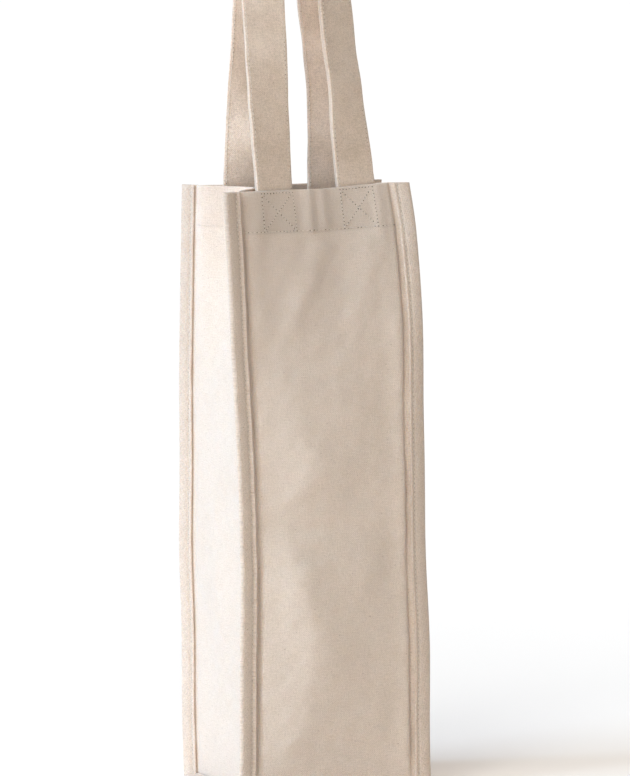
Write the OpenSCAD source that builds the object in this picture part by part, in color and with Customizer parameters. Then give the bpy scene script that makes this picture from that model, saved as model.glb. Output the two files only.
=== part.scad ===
// Canvas carrier for one bottle. A tall open bag stands on a flat base, with two strap handles sewn inside its rim.
// X runs across the front, Y from front to back and Z up. The origin is the middle of the base, on the floor.
// The upright seams stand outside the bag and are bound with folded strips of the same canvas.

/* [Bag] */
// Width of the front and the back, between the upright seams at the base
bag_w = 101.6; // [90:0.1:125]
// Depth of the side gussets, between the upright seams at the base
bag_d = 82.5; // [75:0.5:110]
// Height from the floor to the rim
bag_h = 356; // [300:1:400]
// Thickness of one layer of canvas
canvas_t = 0.9; // [0.7:0.1:1.2]
// Height of the hem turned in at the rim
hem_h = 25; // [18:1:35]

/* [Binding] */
// Width of the bound seams that stand outside the corners
binding_w = 10; // [8:0.5:13]
// Thickness of the binding on each side of a seam
binding_t = 1; // [0.8:0.1:1.3]
// How far a binding starts from the corner that it runs along
binding_start = 1.8; // [1.6:0.1:2.6]

/* [Handles] */
// Width of the straps
strap_w = 25.4; // [20:0.1:30]
// Thickness of the straps, four layers of canvas
strap_t = 3; // [2.4:0.1:3.6]
// Distance between the middles of a handle's two legs, where they leave the rim
strap_spacing = 54; // [46:1:58]
// Distance between the middles of a handle's two legs, where its arch begins
arch_w = 44; // [38:1:48]
// Length of the front handle from the rim to the top of its arch
front_handle_rise = 148; // [130:1:165]
// Length of the back handle, whose arch lies over the front one
back_handle_rise = 166; // [150:1:180]
// Angle by which the front handle leans towards the mouth
front_handle_lean = 7; // [2:1:9]
// Angle by which the back handle leans towards the mouth
back_handle_lean = 1; // [0:1:3]

/* [Hidden] */

// Gap between layers that lie on each other, and between pieces that move past each other
layer_gap = 0.1;
running_gap = 0.3;

canvas = "antiquewhite";
binding_canvas = "wheat";
strap_canvas = "burlywood";

// The four corners of the bag, in order round it
FRONT_LEFT = 0;
FRONT_RIGHT = 1;
BACK_RIGHT = 2;
BACK_LEFT = 3;
// The four sides, each between the corner of its own number and the next
FRONT = 0;
RIGHT = 1;
BACK = 2;
LEFT = 3;

// The bag narrows and leans to its mouth. At these shares of its height, the tables give each corner's place across
// and back, as shares of the width and the depth
level_shares = [0, 0.2, 0.4, 0.62, 0.78, 0.92, 1];
corner_x_shares = [
    [-0.5, -0.497, -0.493, -0.497, -0.5, -0.502, -0.502],
    [0.5, 0.49, 0.478, 0.471, 0.475, 0.484, 0.487],
    [0.5, 0.493, 0.483, 0.477, 0.477, 0.477, 0.477],
    [-0.5, -0.505, -0.51, -0.51, -0.508, -0.505, -0.502]
];
corner_y_shares = [
    [-0.5, -0.515, -0.516, -0.44, -0.36, -0.29, -0.247],
    [-0.5, -0.5, -0.475, -0.45, -0.42, -0.27, -0.125],
    [0.5, 0.5, 0.495, 0.48, 0.44, 0.32, 0.25],
    [0.5, 0.52, 0.535, 0.535, 0.53, 0.515, 0.51]
];
// How far each side bows outwards at those heights, as shares of the depth
bow_shares = [
    [0, 0.03, 0.04, 0.035, 0.02, 0.005, -0.01],
    [0, 0.03, 0.03, 0.02, -0.06, -0.18, -0.25],
    [0, 0.03, 0.04, 0.035, 0.02, 0, -0.02],
    [0, 0.03, 0.03, 0, -0.1, -0.21, -0.26]
];
// Direction in which the bound seam stands at each corner, as an angle in the plan
seam_angles = [194, 346, 25, 123];

// Sizes of the seams and the base
seam_half = layer_gap / 2 + canvas_t;
slot_half = seam_half + layer_gap / 2;
binding_half = slot_half + binding_t;
binding_end = binding_start + binding_w;
seam_w = binding_end - binding_half - layer_gap;
seam_z = binding_half;
base_ramp = 2 * binding_half;
corner_clearance = binding_half + running_gap;

// Counts of points along each side, up a sheet and round a fold
side_steps = [9, 8, 16, 9];
height_steps = 14;
fold_steps = 4;
leg_steps = 14;
arch_steps = 16;

hem_z = bag_h - hem_h;
// A strap's end lies on the hem's inner face and stops short of the hem's lower edge
strap_face = canvas_t + running_gap;
strap_end_h = hem_h - 2 * canvas_t;
strap_end_steps = 4;
// How much of the rim's bow is left where the straps are, and how late along its length a strap turns
strap_bow_share = 0.56;
turn_power = 7;

heights = concat([for (i = [0:height_steps]) hem_z * i / height_steps], [hem_z + canvas_t, bag_h - hem_h / 2, bag_h]);

// Value of a table of shares at a height share, on a smooth curve through its entries
function slope(values, i) =
    let (a = max(0, i - 1), b = min(len(values) - 1, i + 1))
    (values[b] - values[a]) / (level_shares[b] - level_shares[a]);
function at_level(values, level) =
    let (
        i = max([for (k = [0:len(values) - 2]) if (k == 0 || level >= level_shares[k]) k]),
        span = level_shares[i + 1] - level_shares[i],
        t = (level - level_shares[i]) / span
    )
    (1 + 2 * t) * pow(1 - t, 2) * values[i] + t * t * (3 - 2 * t) * values[i + 1]
    + t * pow(1 - t, 2) * span * slope(values, i) - t * t * (1 - t) * span * slope(values, i + 1);

function unit(v) = v / norm(v);
function outward(v) = [v.y, -v.x];
function seam_direction(corner) = [cos(seam_angles[corner]), sin(seam_angles[corner])];
function corner_place(corner, level) =
    [bag_w * at_level(corner_x_shares[corner], level), bag_d * at_level(corner_y_shares[corner], level)];

// Point of a side at a share of its width
function side_point(side, share, level) =
    let (
        a = corner_place(side, level),
        b = corner_place((side + 1) % 4, level),
        bow = at_level(bow_shares[side], level) * pow(sin(180 * share), 2)
    )
    a + (b - a) * share + outward(unit(b - a)) * bag_d * bow;

// Line of a side in the plan, from the tip of one seam to the tip of the next
function side_line(side, level) =
    let (next = (side + 1) % 4)
    concat(
        [corner_place(side, level) + seam_w * seam_direction(side)],
        [for (i = [0:side_steps[side]]) side_point(side, i / side_steps[side], level)],
        [corner_place(next, level) + seam_w * seam_direction(next)]
    );

// Line moved outwards by its own distance at each point, with its bends kept sharp
function moved_line(line, distances) = [
    for (i = [0:len(line) - 1])
        let (
            before = outward(unit(line[max(i, 1)] - line[max(i, 1) - 1])),
            after = outward(unit(line[min(i + 1, len(line) - 1)] - line[min(i, len(line) - 2)]))
        )
        line[i] + distances[i] * (before + after) / (1 + before * after)
];

function lifted(points, z) = [for (p = points) [p.x, p.y, z]];
function reversed(list) = [for (i = [len(list) - 1:-1:0]) list[i]];

// Solid through a row of closed outlines that have equal counts of points
module loft(rings) {
    n = len(rings[0]);
    last = len(rings) - 1;
    polyhedron(
        points = [for (ring = rings) each ring],
        faces = concat(
            [[for (i = [0:n - 1]) i]],
            [for (r = [0:last - 1]) for (i = [0:n - 1]) each [
                [r * n + i, (r + 1) * n + i, (r + 1) * n + (i + 1) % n],
                [r * n + i, (r + 1) * n + (i + 1) % n, r * n + (i + 1) % n]
            ]],
            [[for (i = [n - 1:-1:0]) last * n + i]]
        )
    );
}

// Outline of a side's canvas at a height, twice as thick in the hem. The foot is what stands out at the bottom
function sheet_ring(side, z, foot = 0) =
    let (
        line = side_line(side, z / bag_h),
        free = [for (i = [0:len(line) - 1]) i > 1 && i < len(line) - 2],
        inner = [for (i = [0:len(line) - 1]) layer_gap / 2 - (z > hem_z && free[i] ? canvas_t : 0)],
        outer = [for (i = [0:len(line) - 1]) seam_half + (free[i] ? foot : 0)]
    )
    lifted(concat(moved_line(line, outer), reversed(moved_line(line, inner))), z);

module panel(side) {
    loft([for (z = heights) sheet_ring(side, z)]);
}

// A gusset stands in the base seams, with its bottom edge turned out
module gusset(side) {
    low = seam_z + layer_gap / 2;
    loft(concat(
        [sheet_ring(side, low, seam_w), sheet_ring(side, low + canvas_t, seam_w)],
        [for (i = [0:len(heights) - 1]) sheet_ring(side, i == 0 ? low + canvas_t : heights[i])]
    ));
}

// Outline of a binding, folded round a seam that runs along the first axis
function binding_outline() = concat(
    [[binding_start, -binding_half]],
    [for (i = [0:fold_steps]) let (a = 180 * i / fold_steps - 90)
        [binding_end - binding_half + binding_half * cos(a), binding_half * sin(a)]],
    [
        [binding_start, binding_half], [binding_start, slot_half],
        [binding_end - binding_t, slot_half], [binding_end - binding_t, -slot_half],
        [binding_start, -slot_half]
    ]
);

function binding_ring(corner, z) =
    let (
        place = corner_place(corner, z / bag_h),
        along = seam_direction(corner),
        across = outward(along)
    )
    lifted([for (p = binding_outline()) place + along * p.x - across * p.y], z);

module upright_binding(corner) {
    loft([for (z = heights) binding_ring(corner, z)]);
}

module base_binding() {
    translate([bag_w / 2, bag_d / 2 - corner_clearance, seam_z])
        rotate([90, 0, 0]) linear_extrude(bag_d - 2 * corner_clearance) polygon(binding_outline());
}

// Half of the base in cross-section, from the middle out to the tip of its seam
function base_half() = [
    [0, 0],
    [bag_w / 2 - base_ramp, 0],
    [bag_w / 2, seam_z - seam_half],
    [bag_w / 2 + seam_w, seam_z - seam_half],
    [bag_w / 2 + seam_w, seam_z - layer_gap / 2],
    [bag_w / 2, seam_z - layer_gap / 2],
    [bag_w / 2 - base_ramp, canvas_t],
    [0, canvas_t]
];

module base_strip() {
    union() {
        for (turn = [0, 1])
            mirror([turn, 0, 0])
                translate([0, bag_d / 2 - corner_clearance, 0])
                    rotate([90, 0, 0]) linear_extrude(bag_d - 2 * corner_clearance) polygon(base_half());
        translate([-bag_w / 2 + base_ramp, -bag_d / 2, 0])
            cube([bag_w - 2 * base_ramp, bag_d, canvas_t]);
    }
}

// Outline of a strap's sewn end at a height, lying on the inner face of the hem. Turn is -1 for the end nearer the
// side's first corner and 1 for the other
function strap_end_ring(side, turn, z) =
    let (
        level = z / bag_h,
        chord = norm(corner_place((side + 1) % 4, level) - corner_place(side, level)),
        line = [for (k = [0:strap_end_steps])
            side_point(side, 0.5 + (turn * strap_spacing / 2 + strap_w * (k / strap_end_steps - 0.5)) / chord, level)],
        near = [for (p = line) -strap_face],
        far = [for (p = line) -strap_face - strap_t]
    )
    lifted(concat(moved_line(line, near), reversed(moved_line(line, far))), z);

module strap_end(side, turn) {
    loft([for (k = [0:strap_end_steps])
        strap_end_ring(side, turn, bag_h - strap_end_h * (1 - k / strap_end_steps))]);
}

// Middle of a side's rim and the direction of the rim there
function rim_middle(side) = (corner_place(side, 1) + corner_place((side + 1) % 4, 1)) / 2
    + outward(rim_direction(side)) * bag_d * at_level(bow_shares[side], 1) * strap_bow_share;
function rim_direction(side) = unit(corner_place((side + 1) % 4, 1) - corner_place(side, 1));

// Handle's path in its own plane, across and up, and its direction. A leg rises from its foot to the arch
leg_in = (strap_spacing - arch_w) / 2;
arch_r = arch_w / 2;
function leg_point(share, leg_rise) = [-strap_spacing / 2 + leg_in * (1 - cos(180 * share)) / 2, leg_rise * share];
function leg_direction(share, leg_rise) = unit([leg_in * PI / 2 * sin(180 * share), leg_rise]);
function arch_point(angle, leg_rise) = [-arch_r * cos(angle), leg_rise + arch_r * sin(angle)];
function arch_direction(angle) = [sin(angle), cos(angle)];

// The strap lies flat against the bag at its feet and turns as it rises, so that its outer face is on top of the arch.
// This is the turn at a share of the way from the foot to the top
function strap_turn(share) = 90 * pow(share, turn_power);

// Outline of the strap around a point of the path
function strap_ring(place, direction, turn) =
    let (
        along = [direction.x, 0, direction.y],
        across = [-direction.y, 0, direction.x],
        face = [0, -cos(turn), 0] + sin(turn) * across,
        width = cross(along, face)
    )
    [for (p = strap_outline) [place.x, 0, place.y] + width * p.x + face * p.y];

function mirrored_ring(ring) = [for (p = ring) [-p.x, p.y, p.z]];

strap_outline = [
    [-strap_w / 2, -strap_t / 4], [-strap_w / 2 + strap_t / 4, -strap_t / 2],
    [strap_w / 2 - strap_t / 4, -strap_t / 2], [strap_w / 2, -strap_t / 4],
    [strap_w / 2, strap_t / 4], [strap_w / 2 - strap_t / 4, strap_t / 2],
    [-strap_w / 2 + strap_t / 4, strap_t / 2], [-strap_w / 2, strap_t / 4]
];

function half_handle(leg_rise) = let (half_length = leg_rise + arch_r * PI / 2) concat(
    [for (k = [0:leg_steps - 1]) let (share = k / leg_steps)
        strap_ring(leg_point(share, leg_rise), leg_direction(share, leg_rise),
            strap_turn(share * leg_rise / half_length))],
    [for (k = [0:arch_steps]) let (angle = 90 * k / arch_steps)
        strap_ring(arch_point(angle, leg_rise), arch_direction(angle),
            strap_turn((leg_rise + arch_r * PI * angle / 180) / half_length))]
);

module handle(side, lean, rise) {
    direction = rim_direction(side);
    foot = rim_middle(side) - outward(direction) * (strap_face + strap_t / 2);
    half = half_handle(rise - arch_r);
    rings = concat(half, [for (i = [len(half) - 2:-1:0]) mirrored_ring(half[i])]);
    translate([foot.x, foot.y, bag_h + running_gap + strap_t / 2 * sin(lean)])
        rotate([0, 0, atan2(direction.y, direction.x)]) rotate([-lean, 0, 0])
            loft([for (ring = rings) reversed(ring)]);
}

module front_panel() {
    color(canvas) panel(FRONT);
}

module back_panel() {
    color(canvas) panel(BACK);
}

module base_panel() {
    color(canvas) base_strip();
}

module left_gusset() {
    color(canvas) gusset(LEFT);
}

module right_gusset() {
    color(canvas) gusset(RIGHT);
}

module front_left_binding() {
    color(binding_canvas) upright_binding(FRONT_LEFT);
}

module front_right_binding() {
    color(binding_canvas) upright_binding(FRONT_RIGHT);
}

module back_left_binding() {
    color(binding_canvas) upright_binding(BACK_LEFT);
}

module back_right_binding() {
    color(binding_canvas) upright_binding(BACK_RIGHT);
}

module base_left_binding() {
    color(binding_canvas) mirror([1, 0, 0]) base_binding();
}

module base_right_binding() {
    color(binding_canvas) base_binding();
}

module front_handle() {
    color(strap_canvas) handle(FRONT, front_handle_lean, front_handle_rise);
}

module front_handle_left_end() {
    color(strap_canvas) strap_end(FRONT, -1);
}

module front_handle_right_end() {
    color(strap_canvas) strap_end(FRONT, 1);
}

module back_handle() {
    color(strap_canvas) handle(BACK, back_handle_lean, back_handle_rise);
}

module back_handle_left_end() {
    color(strap_canvas) strap_end(BACK, 1);
}

module back_handle_right_end() {
    color(strap_canvas) strap_end(BACK, -1);
}

front_panel();
back_panel();
base_panel();
left_gusset();
right_gusset();
front_left_binding();
front_right_binding();
back_left_binding();
back_right_binding();
base_left_binding();
base_right_binding();
front_handle();
front_handle_left_end();
front_handle_right_end();
back_handle();
back_handle_left_end();
back_handle_right_end();
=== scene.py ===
import math

import bpy
import numpy as np
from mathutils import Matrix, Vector


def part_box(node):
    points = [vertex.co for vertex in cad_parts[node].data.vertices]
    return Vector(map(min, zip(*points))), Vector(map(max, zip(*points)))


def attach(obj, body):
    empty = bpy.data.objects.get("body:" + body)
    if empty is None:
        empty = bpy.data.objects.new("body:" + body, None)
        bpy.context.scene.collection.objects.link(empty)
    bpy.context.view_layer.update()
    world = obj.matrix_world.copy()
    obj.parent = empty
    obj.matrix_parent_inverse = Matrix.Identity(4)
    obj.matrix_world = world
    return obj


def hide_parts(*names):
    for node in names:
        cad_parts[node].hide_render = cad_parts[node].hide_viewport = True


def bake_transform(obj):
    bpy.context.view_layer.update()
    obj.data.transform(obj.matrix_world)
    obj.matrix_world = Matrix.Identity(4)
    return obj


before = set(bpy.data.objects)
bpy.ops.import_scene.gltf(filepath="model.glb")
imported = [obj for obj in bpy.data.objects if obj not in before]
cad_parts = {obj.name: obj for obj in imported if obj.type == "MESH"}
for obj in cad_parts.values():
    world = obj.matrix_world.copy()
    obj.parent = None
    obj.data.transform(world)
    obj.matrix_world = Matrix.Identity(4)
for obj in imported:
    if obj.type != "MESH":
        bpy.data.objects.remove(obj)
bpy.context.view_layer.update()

MM = 0.001

# Sizes of the cloth: widths, depth, heights, thicknesses and gaps
BAG_W, BAG_D = 101.6 * MM, 82.5 * MM
BAG_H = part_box("front_panel")[1].z
CANVAS_T = 0.9 * MM
LAYER_GAP = 0.1 * MM
HEM_H = 25 * MM
BINDING_W, BINDING_T, BINDING_START = 10 * MM, 1 * MM, 1.8 * MM
STRAP_W, STRAP_T = 25.4 * MM, 3 * MM
STRAP_SPACING, ARCH_W = 54 * MM, 44 * MM
RUNNING_GAP = 0.3 * MM

# Distances from a seam's middle plane and from its corner, and heights, that follow from the sizes
SEAM_HALF = LAYER_GAP / 2 + CANVAS_T
SLOT_HALF = SEAM_HALF + LAYER_GAP / 2
BINDING_HALF = SLOT_HALF + BINDING_T
BINDING_END = BINDING_START + BINDING_W
SEAM_W = BINDING_END - BINDING_HALF - LAYER_GAP
SEAM_Z = BINDING_HALF
GUSSET_Z = SEAM_Z + LAYER_GAP / 2
BASE_RAMP = 2 * BINDING_HALF
HEM_Z = BAG_H - HEM_H
STRAP_FACE = CANVAS_T + RUNNING_GAP
STRAP_END_H = HEM_H - 2 * CANVAS_T

# Sides and corners are numbered round the bag, and each side starts at the corner of its number
FRONT, RIGHT, BACK, LEFT = range(4)
SIDE_NAMES = ("front", "right", "back", "left")
CORNER_NAMES = ("front_left", "front_right", "back_right", "back_left")
BASE_SEAMS = (("base_left", -1), ("base_right", 1))

# Shares of the height at which the tables below have their values
LEVELS = np.array([0, 0.2, 0.4, 0.62, 0.78, 0.92, 1])
RIM_LEVEL = np.array(1.0)
# Each corner's place, as shares of the width and the depth
CORNER_X = [
    [-0.5, -0.497, -0.493, -0.497, -0.5, -0.502, -0.502],
    [0.5, 0.49, 0.478, 0.471, 0.475, 0.484, 0.487],
    [0.5, 0.493, 0.483, 0.477, 0.477, 0.477, 0.477],
    [-0.5, -0.505, -0.51, -0.51, -0.508, -0.505, -0.502],
]
CORNER_Y = [
    [-0.5, -0.515, -0.516, -0.44, -0.36, -0.29, -0.247],
    [-0.5, -0.5, -0.475, -0.45, -0.42, -0.27, -0.125],
    [0.5, 0.5, 0.495, 0.48, 0.44, 0.32, 0.25],
    [0.5, 0.52, 0.535, 0.535, 0.53, 0.515, 0.51],
]
# How far each side bows outwards, as shares of the depth
SIDE_BOWS = [
    [0, 0.03, 0.04, 0.035, 0.02, 0.005, -0.01],
    [0, 0.03, 0.03, 0.02, -0.06, -0.18, -0.25],
    [0, 0.03, 0.04, 0.035, 0.02, 0, -0.02],
    [0, 0.03, 0.03, 0, -0.1, -0.21, -0.26],
]
# Each seam's direction away from its corner, and how far it turns further up the bag, in degrees
SEAM_ANGLES = [194, 346, 25, 123]
SEAM_TURNS = [
    [0, 0, 0, 0, 0, 0, 0],
    [8, 11, 15, 17, 15, 3, -3],
    [0, 0, 0, 0, 0, -3, -8],
    [0, 0, 0, 0, 0, 0, 0],
]

# How far the cloth draws in where it leaves each seam, to the right and to the back, and how far along the side
CORNER_INSETS = np.array([[0.7, 1.4], [-0.4, 3.1], [-0.5, -1.0], [0.3, -0.5]]) * MM
INSET_REACHES = np.array([6, 3, 8, 8]) * MM
# The level at which the insets are full, and by what share they are less in the hem, between two levels
INSET_LEVEL, HEM_STIFFNESS, HEM_LEVELS = 0.08, 0.35, (0.9, 0.95)
# Distances from the corner over which a seam's layers take up the inset
INSET_START, INSET_FULL = 3 * MM, 0.5 * MM
# How high each corner of the rim stands over the rest, and the level at which the cloth starts to rise to it
RIM_LIFTS = np.array([0, 2.0, 1.4, 0]) * MM
RIM_RISE_LEVEL = 0.8
# How far each binding's lips stand off
LIP_RISES = np.array([1.1, 0.3, 0.5, 0.3]) * MM
BASE_LIP_RISE = 0.2 * MM

# Painted shade: how much darker each side's doubled hem is painted, and how much darker the sides and the seams are
# painted at the levels, where less light falls on them
HEM_PAINTED_SHADE = [0.7, 0.7, 0.9, 0.3]
SIDE_PAINTED_SHADE = [
    [0, 0, 0.1, 0.4, 1.1, 1.3, 0.6],
    [0, 0, 0, 0, 0, 0, 0],
    [0, 0, 0, 0, 0, 0, 0],
    [0.55, 0.5, 0.4, 0.35, 0.25, 0.05, 0],
]
SEAM_PAINTED_SHADE = [
    [0, 0, 0, 0.25, 0.6, 1.1, 1.3],
    [0.2, 0.7, 0.9, 0.95, 0.55, 0.4, 0.4],
    [0.3, 0.3, 0.3, 0.3, 0.3, 0.3, 0.3],
    [0.2, 0.2, 0.2, 0.4, 0.7, 0.7, 0.6],
]
# Painted shade on each strap: the front one is darker all over
STRAP_PAINTED_SHADE = {FRONT: 0.35, BACK: 0}
# By what share each side's painted shade fades towards its far edge, and the shares across between which it does
PAINTED_SHADE_FADES = [0.5, 0, 0, 0]
FADE_START, FADE_END = 0.5, 0.9

# The front's two long folds: at each height, the share across at which the crest runs and how far it stands out
CREST_Z = np.array([0, 10, 46, 90, 130, 150, 160, 170, 194, 234, 262, 290, 320, 356]) * MM
CREST_SHARES = [0.08, 0.1, 0.28, 0.36, 0.28, 0.2, 0.16, 0.18, 0.36, 0.25, 0.16, 0.15, 0.15, 0.15]
CREST_OUT = np.array([0, 2.8, 7.8, 10.2, 9.0, 5.6, 3.0, 3.8, 6.4, 4.2, 1.4, 0, 0, 0]) * MM
# How round the crest is, and the powers by which the cloth rises to it and falls away from it
CREST_SOFTNESS, RISE_POWER, FALL_POWER = 0.14, 0.7, 1.6
# Soft folds of the front: height, start and end (share across, height on the bag) and width, all in mm. The first is
# the roll in which the front bulges over its right-hand seam.
STREAKS = [
    (0.9, (0.95, 280), (0.95, 20), 3),
    (1.3, (0.5, 322), (0.28, 280), 4.5), (1.8, (0.05, 330), (0.08, 284), 7),
    (1.5, (0.82, 322), (0.68, 284), 7),
    (1.7, (0.45, 356), (0.44, 334), 2.6), (1.3, (0.53, 356), (0.53, 336), 2.4), (0.9, (0.12, 352), (0.11, 332), 4),
    (1.0, (0.9, 356), (0.89, 330), 3), (1.1, (0.8, 180), (0.68, 130), 8), (0.9, (0.86, 80), (0.74, 40), 8),
]
# Small waves of the front and of the other sides: height and length in mm, and seed
FRONT_WAVES = [(0.45, 42, 3), (0.16, 13, 5)]
PLAIN_WAVES = [(0.9, 75, 11), (0.3, 32, 31), (0.1, 13, 41)]
# How near the seams, as a share of the width, and how near the base folds and waves die out
FRONT_FADE, PLAIN_FADE = (0.04, 12 * MM), (0.08, 30 * MM)
# Number of sines in a noise, and their lengths against its scale
NOISE_SINES, NOISE_LENGTHS = 7, (0.7, 1.6)


def smooth(low, high, x):
    """0 at low and 1 at high, eased between them."""
    t = np.clip((x - low) / (high - low), 0, 1)
    return t * t * (3 - 2 * t)


def at_level(values, level):
    """Value of a table at a height share, on a smooth curve through its entries."""
    values = np.asarray(values, float)
    i = np.arange(len(values))
    before, after = np.maximum(i - 1, 0), np.minimum(i + 1, len(values) - 1)
    slopes = (values[after] - values[before]) / (LEVELS[after] - LEVELS[before])
    k = np.clip(np.searchsorted(LEVELS, level, side="right") - 1, 0, len(values) - 2)
    span = LEVELS[k + 1] - LEVELS[k]
    t = (level - LEVELS[k]) / span
    return (
        (1 + 2 * t) * (1 - t) ** 2 * values[k] + t * t * (3 - 2 * t) * values[k + 1]
        + t * (1 - t) ** 2 * span * slopes[k] - t * t * (1 - t) * span * slopes[k + 1]
    )


def along_height(z, places, values):
    """Values at heights z, eased between their places."""
    k = np.clip(np.searchsorted(places, z, side="right") - 1, 0, len(places) - 2)
    values = np.asarray(values, float)
    return values[k] + (values[k + 1] - values[k]) * smooth(0, 1, (z - places[k]) / (places[k + 1] - places[k]))


def unit(v):
    return v / np.maximum(np.linalg.norm(v, axis=-1, keepdims=True), 1e-12)


def outward(v):
    """Directions in plan, turned to point out of the bag."""
    return np.stack([v[..., 1], -v[..., 0]], -1)


def next_corner(side):
    return (side + 1) % 4


def side_width(side):
    return BAG_W if side in (FRONT, BACK) else BAG_D


def corner_place(corner, level):
    return np.stack([BAG_W * at_level(CORNER_X[corner], level), BAG_D * at_level(CORNER_Y[corner], level)], -1)


def side_chord(side, level):
    """From a side's corner to the next one, in plan."""
    return corner_place(next_corner(side), level) - corner_place(side, level)


def seam_direction(corner, level):
    angle = np.radians(SEAM_ANGLES[corner] + at_level(SEAM_TURNS[corner], level))
    return np.stack([np.cos(angle), np.sin(angle)], -1)


def inset_level(level):
    """Share of the insets at a height share: none at the base, and less in the stiff hem."""
    return (smooth(0, INSET_LEVEL, level) * (1 - HEM_STIFFNESS * smooth(*HEM_LEVELS, level)))[..., None]


def side_point(side, share, level):
    """Point of a side's seam plane at a share of its width. Share and level broadcast."""
    share, level = np.broadcast_arrays(np.asarray(share, float), np.asarray(level, float))
    following = next_corner(side)
    start, chord = corner_place(side, level), side_chord(side, level)
    bow = at_level(SIDE_BOWS[side], level) * np.sin(np.pi * share) ** 2
    near = smooth(INSET_REACHES[side], 0, share * side_width(side))
    far = smooth(INSET_REACHES[following], 0, (1 - share) * side_width(side))
    inset = near[..., None] * CORNER_INSETS[side] + far[..., None] * CORNER_INSETS[following]
    bowed = start + chord * share[..., None] + outward(unit(chord)) * (BAG_D * bow)[..., None]
    return bowed + inset * inset_level(level)


def side_normal(side, share, level, look):
    """Outward direction of a side's seam plane, from the points at a share before and after."""
    return outward(unit(side_point(side, share + look, level) - side_point(side, share - look, level)))


def rim_rise(z):
    """Share of the rim's lift that the cloth has at height z."""
    return smooth(RIM_RISE_LEVEL * BAG_H, BAG_H, z)


def rim_lift(side, share, z):
    start, end = RIM_LIFTS[side], RIM_LIFTS[next_corner(side)]
    return (start * smooth(0.5, 0, share) + end * smooth(0.5, 1, share)) * rim_rise(z)


def cloth_noise(a, b, seed, scale):
    """Smooth waves of about unit height over two coordinates, from a few sines of seeded direction and phase."""
    rng = np.random.default_rng(seed)
    total = 0
    for _ in range(NOISE_SINES):
        angle, phase = rng.uniform(0, math.tau, 2)
        length = scale * rng.uniform(*NOISE_LENGTHS)
        total = total + np.sin(math.tau * (a * math.cos(angle) + b * math.sin(angle)) / length + phase)
    return total / NOISE_SINES ** 0.5


def ridge(share, z, start, end, width):
    """Height of a soft fold along a line from one (share, z) to another: 1 on the line, falling off over width."""
    dx, dy = (end[0] - start[0]) * BAG_W, end[1] - start[1]
    px, py = (share - start[0]) * BAG_W, z - start[1]
    t = np.clip((px * dx + py * dy) / (dx * dx + dy * dy), 0, 1)
    return np.exp(-((px - t * dx) ** 2 + (py - t * dy) ** 2) / (2 * width * width))


def front_folds(share, z):
    """The front's two long folds and its short ones."""
    crest = along_height(z, CREST_Z, CREST_SHARES)
    out = along_height(z, CREST_Z, CREST_OUT)
    rise = np.clip(share / crest, 0, None) ** RISE_POWER
    fall = np.clip((1 - share) / (1 - crest), 0, None) ** FALL_POWER
    total = out * -CREST_SOFTNESS * np.logaddexp(-rise / CREST_SOFTNESS, -fall / CREST_SOFTNESS)
    for height, start, end, width in STREAKS:
        line = (start[0], start[1] * MM), (end[0], end[1] * MM)
        total = total + height * MM * ridge(share, z, *line, width * MM)
    return total


def folds(side, share, z):
    """How far a side's folds and waves stand out of its seam plane."""
    if side == FRONT:
        total, waves, (edge, foot) = front_folds(share, z), FRONT_WAVES, FRONT_FADE
    else:
        total, waves, (edge, foot) = 0, PLAIN_WAVES, PLAIN_FADE
    for height, length, seed in waves:
        total = total + height * MM * cloth_noise(share * side_width(side), z, seed + side, length * MM)
    return total * (smooth(0, edge, share) * smooth(1, 1 - edge, share)) * smooth(0, foot, z)


# Materials

# Canvas, in cloth millimetres: how fine its uneven yarn, grain, mottling and flecks are, along and across a thread
SLUB_ALONG, SLUB_ACROSS = 0.16, 1.5
GRAIN_SCALE, MOTTLE_SCALE, FLECK_SCALES = 1.25, 0.045, (0.55, 0.95, 1)
# How much the yarn, the grain and the weave add to the cloth's tone, and to its height
SLUB_TONE, GRAIN_TONE, WEAVE_TONE = 0.9, 2.6, 0.1
SLUB_RELIEF, GRAIN_RELIEF, WEAVE_RELIEF, RELIEF = 0.8, 0.5, 0.35, 0.25 * MM
# Where flecks start and are full, how strong they are, and their colour against the dark one
FLECK_EDGES, FLECK_MIX, FLECK_TINT = (0.712, 0.775), 0.65, (0.62, 0.5, 0.4)
# How strong the painted shade from the point attribute is, and its colour against the dark one
PAINTED_SHADE_MIX, PAINTED_SHADE_TINT = 0.34, (0.75, 0.75, 0.75)
CANVAS_SURFACE = {
    "Roughness": 0.92, "Specular IOR Level": 0.25, "Sheen Weight": 0.2, "Sheen Roughness": 0.6,
    "Subsurface Weight": 0.32, "Subsurface Radius": (1.0, 0.62, 0.36), "Subsurface Scale": 1.8 * MM,
}
DULL_SURFACE = {"Roughness": 1.0, "Specular IOR Level": 0.0}
# Scales of the thread's twist and of the noise in the holes' painted shade
TWIST_SCALE, HOLE_SHADE_SCALE = 1.4, 0.4


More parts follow.
